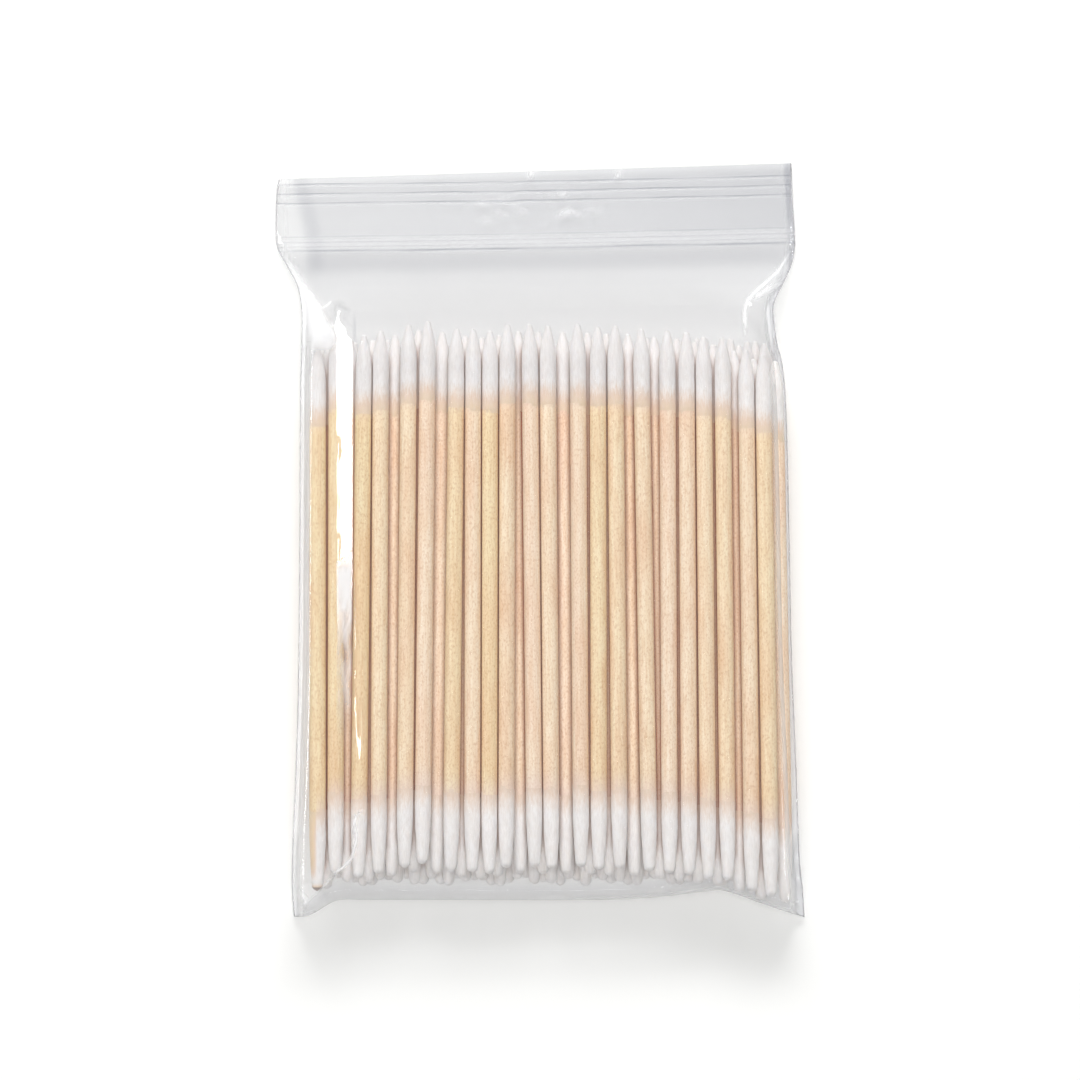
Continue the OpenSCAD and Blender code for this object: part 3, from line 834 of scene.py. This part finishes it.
class SWAB_OT_welds(bpy.types.Operator):
    """Builds the melted beads where the bag's two films are cut and welded at each side"""
    bl_idname = "swab.welds"
    bl_label = "Side welds"

    def execute(self, context):
        form = FilmForm(context.scene.film_settings)
        bm = bmesh.new()
        section = [(BEAD_X * math.cos(a), BEAD_Z * math.sin(a))
                   for a in (math.radians(60 * k) for k in range(6))]
        for edge, inward in ((LEFT_EDGE, 0.08), (RIGHT_EDGE, -0.08)):
            low, high = FOLD(edge(-50)) + 0.2, form.mouth(edge(49)) - 0.1
            places = []
            for k in range(BEAD_STEPS + 1):
                y = lerp(low, high, k / BEAD_STEPS)
                x = edge(y) + inward + 0.03 * waves(0, y * 1.3, 8)
                places.append((x, y, form.seam(x, y)))
            sweep(bm, places, section)
        bmesh.ops.recalc_face_normals(bm, faces=bm.faces)
        for face in bm.faces:
            face.smooth = len(face.verts) == 4
        finish_object("side_welds", bm, made("melted_ldpe_bead", melted_bead))
        return {"FINISHED"}


class SWAB_OT_closure(bpy.types.Operator):
    """Builds the closure's arrow rib and the two hooks round it"""
    bl_idname = "swab.closure"
    bl_label = "Closure"

    def execute(self, context):
        form = FilmForm(context.scene.film_settings)
        bm = bmesh.new()
        rib = [(-0.16, -0.5), (0.16, -0.5), (0.16, -0.1), (0.4, -0.02), (0.38, 0.12), (0.1, 0.41),
               (-0.1, 0.41), (-0.38, 0.12), (-0.4, -0.02), (-0.16, -0.1)]
        hook = [(0.8, 0.5), (0.66, -0.42), (0.3, -0.44), (0.24, -0.2), (0.48, -0.1),
                (0.46, 0.2), (0.46, 0.5)]
        places = []
        for k in range(TRACK_STEPS + 1):
            x = lerp(LEFT_EDGE(form.zip_y) + 0.3, RIGHT_EDGE(form.zip_y) - 0.3, k / TRACK_STEPS)
            y = form.closure(x)
            places.append((x, y, form.band_z(y)))
        sweep(bm, places, rib)
        for side in (1, -1):
            sweep(bm, places, [(side * y, z) for y, z in hook])
        bmesh.ops.recalc_face_normals(bm, faces=bm.faces)
        track = finish_object("closure_track", bm,
                              made("extruded_ldpe_track", extruded_track))
        track.visible_shadow = False
        track.visible_diffuse = False
        return {"FINISHED"}


# Materials

# Along a swab, where the cotton starts and where it hides the wood at the sharp and the blunt end,
# and how far single fibres reach past that, all in millimetres
SHARP_COVER, BLUNT_COVER = (24.6, 29.6), (-22.6, -29.6)
FIBRE_REACH = 3.2

# Painted shade where swabs touch: the deep gaps between them are tinted reddish brown on the
# wood and greyish pink on the cotton
WOOD_GROOVE_SHADE, COTTON_GROOVE_SHADE = "#98501F", "#C2AAA0"

# The film's gloss where it is clear and milky, its milk, and the ripples in it per metre, which
# are 5.6, 11.1 and 8.3 mm long
CLEAR_ROUGH, MILKY_ROUGH = 0.07, 0.35
MILK = "#FBFBFC"
RIPPLES = (180.0, 90.0, 120.0)

# Half of the floor's width in metres, and what it glows by itself, so that it is seen as white
FLOOR_HALF, FLOOR_GLOW = 1.5, 0.14


def add(tree, kind, inputs=None, **settings):
    """Adds a node with its settings, and gives its outputs.

    Each input is a value, or the output that is linked to it.
    """
    node = tree.nodes.new(kind)
    for key, value in settings.items():
        setattr(node, key, value)
    for key, value in (inputs or {}).items():
        if isinstance(value, bpy.types.NodeSocket):
            tree.links.new(value, node.inputs[key])
        else:
            node.inputs[key].default_value = value
    return node.outputs


def made(name, recipe, *args):
    """The material of that name, built by its recipe, which gives a shader, at its first use."""
    material = bpy.data.materials.get(name)
    if not material:
        material = bpy.data.materials.new(name)
        material.use_nodes = True
        tree = material.node_tree
        tree.nodes.clear()
        add(tree, "ShaderNodeOutputMaterial", {"Surface": recipe(tree, *args)})
    return material


def drawn_out(tree, across, along, shift=0.0, detail=1.0, roughness=0.5):
    """Noise whose grains are so many millimetres across and along a swab, other on each swab."""
    tone = add(tree, "ShaderNodeAttribute", attribute_name="tone")["Fac"]
    uv = add(tree, "ShaderNodeUVMap", uv_map="around")["UV"]
    moved = add(tree, "ShaderNodeMath", {0: tone, 1: 37.0 + shift}, operation="MULTIPLY")
    place = add(tree, "ShaderNodeCombineXYZ", {"Z": moved[0]})
    scaled = add(tree, "ShaderNodeMapping", {"Vector": uv, "Scale": (1 / across, 1 / along, 1)})
    place = add(tree, "ShaderNodeVectorMath", {0: scaled[0], 1: place[0]}, operation="ADD")
    return add(tree, "ShaderNodeTexNoise", {
        "Vector": place[0], "Scale": 1.0, "Detail": detail, "Roughness": roughness})["Fac"]


def cotton_cover(tree, fibre):
    """How far the cotton hides the wood: from 0 on bare wood to 1, with fibres at its border."""
    uv = add(tree, "ShaderNodeUVMap", uv_map="around")["UV"]
    along = add(tree, "ShaderNodeSeparateXYZ", {"Vector": uv})["Y"]
    uneven = add(tree, "ShaderNodeMath", {0: fibre, 1: 0.5}, operation="SUBTRACT")[0]
    reach = add(tree, "ShaderNodeMath", {0: uneven, 1: FIBRE_REACH}, operation="MULTIPLY")[0]
    covers = []
    for (start, full), way in ((SHARP_COVER, "ADD"), (BLUNT_COVER, "SUBTRACT")):
        place = add(tree, "ShaderNodeMath", {0: along, 1: reach}, operation=way)[0]
        covers.append(add(tree, "ShaderNodeMapRange",
                          {"Value": place, "From Min": start, "From Max": full},
                          interpolation_type="SMOOTHSTEP")[0])
    cover = add(tree, "ShaderNodeMath", dict(enumerate(covers)), operation="MAXIMUM")[0]
    bare = add(tree, "ShaderNodeAttribute", attribute_name="bare")["Fac"]
    return add(tree, "ShaderNodeMath", {0: cover, 1: bare}, operation="SUBTRACT",
               use_clamp=True)[0]


def laid_over(tree, body, *layers):
    """A body's colour under layers of colour: each is its share, its colour and its blend type."""
    for share, layer, blend in layers:
        body = add(tree, "ShaderNodeMix", {0: share, 6: body, 7: layer}, data_type="RGBA",
                   blend_type=blend)[2]
    return body


def cotton_over_wood(tree, fibre, wood, cotton):
    """Cotton over wood: where it is thin, the wood shows through it a little pinkish."""
    cover = cotton_cover(tree, fibre)
    half_way = add(tree, "ShaderNodeMath", {0: cover, 1: 0.5}, operation="PINGPONG")[0]
    thin = add(tree, "ShaderNodeMath", {0: half_way, 1: 1.6}, operation="MULTIPLY")[0]
    return laid_over(tree, wood, (cover, cotton, "MIX"), (thin, colour("#FAEEE9"), "MULTIPLY"))


def birch(tree, settings):
    """Birch, turned and left bare: pale, with fine short pores along the stick."""
    fibre = drawn_out(tree, 0.26, 4.0, detail=3.0, roughness=0.6)
    pore = drawn_out(tree, 0.2, 0.38, shift=5.0, detail=2.0)
    cloud = drawn_out(tree, 3.0, 14.0, shift=9.0)
    dark, pores, pinkish = [
        add(tree, "ShaderNodeMapRange", {
            "Value": pattern, "From Min": low, "From Max": high, "To Max": strongest})[0]
        for pattern, low, high, strongest in (
            (fibre, 0.34, 0.68, 1.0), (pore, 0.48, 0.7, 0.55), (cloud, 0.4, 0.7, 0.35))]
    tone, groove_shaded = [add(tree, "ShaderNodeAttribute", attribute_name=name)["Fac"]
                   for name in ("tone", "groove_shade")]
    warm = laid_over(tree, colour("#FFF6F1"), (tone, colour("#FBF1D6"), "MIX"))
    wood = laid_over(tree, colour(settings.wood_light),
                     (dark, colour(settings.wood_dark), "MIX"), (pores, colour("#DDBC98"), "MIX"),
                     (1.0, warm, "MULTIPLY"), (pinkish, colour("#F0CFC0"), "MULTIPLY"))
    # Painted shade darkens the wood deep between touching swabs
    body = laid_over(tree, cotton_over_wood(tree, fibre, wood, colour(settings.cotton_white)),
                     (groove_shaded, colour(WOOD_GROOVE_SHADE), "MULTIPLY"))
    relief = add(tree, "ShaderNodeBump", {"Height": pore, "Strength": 0.25, "Distance": 0.05 * MM})
    return add(tree, "ShaderNodeBsdfPrincipled", {
        "Base Color": body, "Normal": relief[0], "Roughness": 0.62, "Specular IOR Level": 0.3})[0]


def wound_cotton(tree, settings):
    """Bleached cotton, carded and wound on: matt, with loose fibres along the swab."""
    fibre = drawn_out(tree, 0.2, 1.1, detail=4.0, roughness=0.7)
    soft = drawn_out(tree, 1.2, 3.0, shift=4.0)
    between, hollow = [
        add(tree, "ShaderNodeMapRange", {
            "Value": pattern, "From Min": low, "From Max": 0.6, "To Min": strongest,
            "To Max": 0.0})[0]
        for pattern, low, strongest in ((fibre, 0.3, 0.4), (soft, 0.35, 0.25))]
    cotton = laid_over(tree, colour(settings.cotton_white), (between, colour("#D6CEC9"), "MIX"),
                       (hollow, colour("#E9E3DF"), "MIX"))
    bare, groove_shaded = [add(tree, "ShaderNodeAttribute", attribute_name=name)["Fac"]
                   for name in ("bare", "groove_shade")]
    scorched = add(tree, "ShaderNodeMath", {0: bare, 1: 1.0}, operation="SUBTRACT",
                   use_clamp=True)[0]
    # Painted shade darkens the cotton deep between touching swabs
    body = laid_over(tree, cotton_over_wood(tree, fibre, colour("#EED6B6"), cotton),
                     (scorched, colour("#6B4A33"), "MIX"),
                     (groove_shaded, colour(COTTON_GROOVE_SHADE), "MULTIPLY"))
    relief = add(tree, "ShaderNodeBump", {"Height": fibre, "Strength": 0.7, "Distance": 0.12 * MM})
    return add(tree, "ShaderNodeBsdfPrincipled", {
        "Base Color": body, "Normal": relief[0], "Roughness": 0.95,
        "Specular IOR Level": 0.1, "Sheen Weight": 0.3, "Sheen Roughness": 0.6,
        "Subsurface Weight": 0.4, "Subsurface Scale": 0.001,
        "Subsurface Radius": (1.2, 1.1, 1.0)})[0]


def clear_film(tree, settings):
    """Blown LDPE film: clear, a little milky, with a soft gloss that shows each wrinkle."""
    return ldpe(tree, settings.tint, haze=0.015, glancing=0.9, uneven=True)


def melted_bead(tree):
    """The welded edge: LDPE that has melted and set again, so it is milky and rounded."""
    return ldpe(tree, "#F8F8F9", haze=0.2, glancing=0.4)


def extruded_track(tree):
    """The closure's profiles: the same LDPE, extruded thicker and clearer on its rounded edges."""
    return ldpe(tree, "#FEFEFE", haze=0.06, glancing=0.25)


def ldpe(tree, tint, haze, glancing, uneven=False):
    """Clear polyethylene as a single skin: both of its faces are in its gloss and its tint."""
    passed, milky, rough = colour(tint), haze, CLEAR_ROUGH
    if uneven:
        thick, white = [add(tree, "ShaderNodeAttribute", attribute_name=name)["Fac"]
                        for name in ("thick", "white")]
        passed = laid_over(tree, colour("#FFFFFF"), (thick, passed, "MIX"))
        # The white attribute's milk also carries painted highlights and glints
        milky = add(tree, "ShaderNodeMath", {0: white, 1: haze}, operation="ADD")[0]
        rough = add(tree, "ShaderNodeMapRange", {
            "Value": white, "To Min": CLEAR_ROUGH, "To Max": MILKY_ROUGH})[0]
    place = add(tree, "ShaderNodeTexCoord")["Object"]
    scaled = add(tree, "ShaderNodeMapping", {"Vector": place, "Scale": RIPPLES})[0]
    ripple = add(tree, "ShaderNodeTexNoise", {
        "Vector": scaled, "Scale": 1.0, "Detail": 3.0, "Roughness": 0.55})["Fac"]
    relief = add(tree, "ShaderNodeBump", {
        "Height": ripple, "Strength": 0.22, "Distance": 0.25 * MM})[0]
    clear = add(tree, "ShaderNodeBsdfTransparent", {"Color": passed})[0]
    gloss = add(tree, "ShaderNodeBsdfGlossy", {"Normal": relief, "Roughness": rough})[0]
    facing = add(tree, "ShaderNodeLayerWeight", {"Normal": relief, "Blend": 0.5})["Facing"]
    steep = add(tree, "ShaderNodeMath", {0: facing, 1: 4.5}, operation="POWER")[0]
    share = add(tree, "ShaderNodeMapRange", {"Value": steep, "To Min": 0.05, "To Max": glancing})[0]
    faced = add(tree, "ShaderNodeMixShader", {0: share, 1: clear, 2: gloss})[0]
    thrown_back = add(tree, "ShaderNodeBsdfDiffuse", {"Color": colour(MILK)})[0]
    let_through = add(tree, "ShaderNodeBsdfTranslucent", {"Color": colour(MILK)})[0]
    milk = add(tree, "ShaderNodeMixShader", {0: 0.12, 1: thrown_back, 2: let_through})[0]
    return add(tree, "ShaderNodeMixShader", {0: milky, 1: faced, 2: milk})[0]


def seen_white(tree):
    """1 for the rays that should meet plain white: the camera's, mirrored and bent ones."""
    path = add(tree, "ShaderNodeLightPath")
    total = add(tree, "ShaderNodeMath", {0: path["Is Camera Ray"], 1: path["Is Glossy Ray"]},
                operation="MAXIMUM")[0]
    return add(tree, "ShaderNodeMath", {0: total, 1: path["Is Transmission Ray"]},
               operation="MAXIMUM")[0]


def studio_floor(tree):
    """Matt white paper, which looks white itself and keeps the object's shadow."""
    paper = add(tree, "ShaderNodeBsdfDiffuse", {"Color": colour("#F3F3F1")})[0]
    glow = add(tree, "ShaderNodeMath", {0: seen_white(tree), 1: FLOOR_GLOW},
               operation="MULTIPLY")[0]
    lit = add(tree, "ShaderNodeEmission", {"Strength": glow})[0]
    return add(tree, "ShaderNodeAddShader", {0: paper, 1: lit})[0]


# Stage

# Each lamp's name, place and size in metres, and its brightness. The soft ones and the side one
# light the swabs and the floor, and the strips are only mirrored by the film
SOFT_LAMPS = (
    ("key", (0.0, 1.04, 0.65), (0.9, 0.3), 15.6),
    ("roof", (0.0, 0.05, 1.0), (0.3, 0.3), 5.8),
    ("fill", (0.0, -0.8, 0.8), (0.8, 0.3), 3.4),
)
SIDE_LAMP = ("side", (-0.6, 0.11, 0.7), (0.29, 0.54), 2.6)
STRIP_LAMPS = (
    ("strip_left", (-0.76, 0.045, 0.63), (0.22, 0.38), 22.0),
    ("strip_high", (-0.76, 0.65, 0.47), (0.46, 0.38), 6.0),
    ("strip_right", (0.66, -0.1, 0.74), (0.06, 0.4), 20.0),
    ("strip_low", (0.1, -0.8, 0.62), (0.5, 0.06), 18.0),
)


def area_light(name, place, size, radiance, mirrored, shadow):
    """A rectangular lamp that faces the object. A mirrored one lights no matt surface."""
    light = bpy.data.lights.new(name, "AREA")
    light.shape = "RECTANGLE"
    light.size, light.size_y = size
    light.energy = radiance * math.pi * size[0] * size[1]
    light.use_shadow = shadow
    obj = bpy.data.objects.new(name, light)
    obj.location = place
    obj.rotation_euler = (-Vector(place)).to_track_quat("-Z", "Y").to_euler()
    obj.visible_camera = False
    obj.visible_glossy = mirrored
    obj.visible_diffuse = not mirrored
    bpy.context.scene.collection.objects.link(obj)


class SWAB_OT_stage(bpy.types.Operator):
    """Builds the white floor, the lights and the camera that looks straight down"""
    bl_idname = "swab.stage"
    bl_label = "Stage"

    def execute(self, context):
        settings = context.scene.stage_settings
        scene = context.scene
        bm = bmesh.new()
        bmesh.ops.create_grid(bm, x_segments=2, y_segments=2, size=FLOOR_HALF)
        floor = new_object("floor", bm, made("matt_white_paper", studio_floor))
        for lamp in SOFT_LAMPS:
            area_light(*lamp, mirrored=False, shadow=True)
        area_light(*SIDE_LAMP, mirrored=False, shadow=False)
        for lamp in STRIP_LAMPS:
            area_light(*lamp, mirrored=True, shadow=False)
        world = bpy.data.worlds.new("sky")
        world.use_nodes = True
        tree = world.node_tree
        tree.nodes.clear()
        strength = add(tree, "ShaderNodeMapRange", {
            "Value": seen_white(tree), "To Min": settings.sky, "To Max": 1.0})[0]
        sky = add(tree, "ShaderNodeBackground", {"Strength": strength})[0]
        add(tree, "ShaderNodeOutputWorld", {"Surface": sky})
        scene.world = world
        camera = bpy.data.cameras.new("camera")
        camera.lens = settings.lens
        camera.sensor_width = 36.0
        obj = bpy.data.objects.new("camera", camera)
        middle = (FILM_LOW.z + FILM_HIGH.z) / 2 * MM
        obj.location = (0, 0, middle + settings.frame_w * settings.lens / camera.sensor_width)
        scene.collection.objects.link(obj)
        scene.camera = obj
        scene.view_settings.view_transform = "Standard"
        return {"FINISHED"}


class SWAB_PT_panel(bpy.types.Panel):
    """Lists the pieces of the bag in the sidebar"""
    bl_idname = "SWAB_PT_panel"
    bl_label = "Cotton swab bag"
    bl_space_type = "VIEW_3D"
    bl_region_type = "UI"
    bl_category = "Swab bag"

    def draw(self, context):
        for kind in OPERATORS:
            self.layout.operator(kind.bl_idname)
        for group in SETTINGS:
            settings = getattr(context.scene, group)
            column = self.layout.column()
            for name in settings.__annotations__:
                column.prop(settings, name)


OPERATORS = (SWAB_OT_stage, SWAB_OT_front, SWAB_OT_rear, SWAB_OT_film, SWAB_OT_welds,
             SWAB_OT_closure)
SETTINGS = {"swab_settings": SwabSettings, "film_settings": FilmSettings,
            "stage_settings": StageSettings}
CLASSES = (*SETTINGS.values(), *OPERATORS, SWAB_PT_panel)


def register():
    for kind in CLASSES:
        bpy.utils.register_class(kind)
    for name, kind in SETTINGS.items():
        setattr(bpy.types.Scene, name, bpy.props.PointerProperty(type=kind))


def unregister():
    for name in SETTINGS:
        delattr(bpy.types.Scene, name)
    for kind in reversed(CLASSES):
        bpy.utils.unregister_class(kind)


def main():
    register()
    bpy.ops.swab.stage()
    bpy.ops.swab.front()
    bpy.ops.swab.rear()
    bpy.ops.swab.film()
    bpy.ops.swab.welds()
    bpy.ops.swab.closure()


if __name__ == "__main__":
    main()
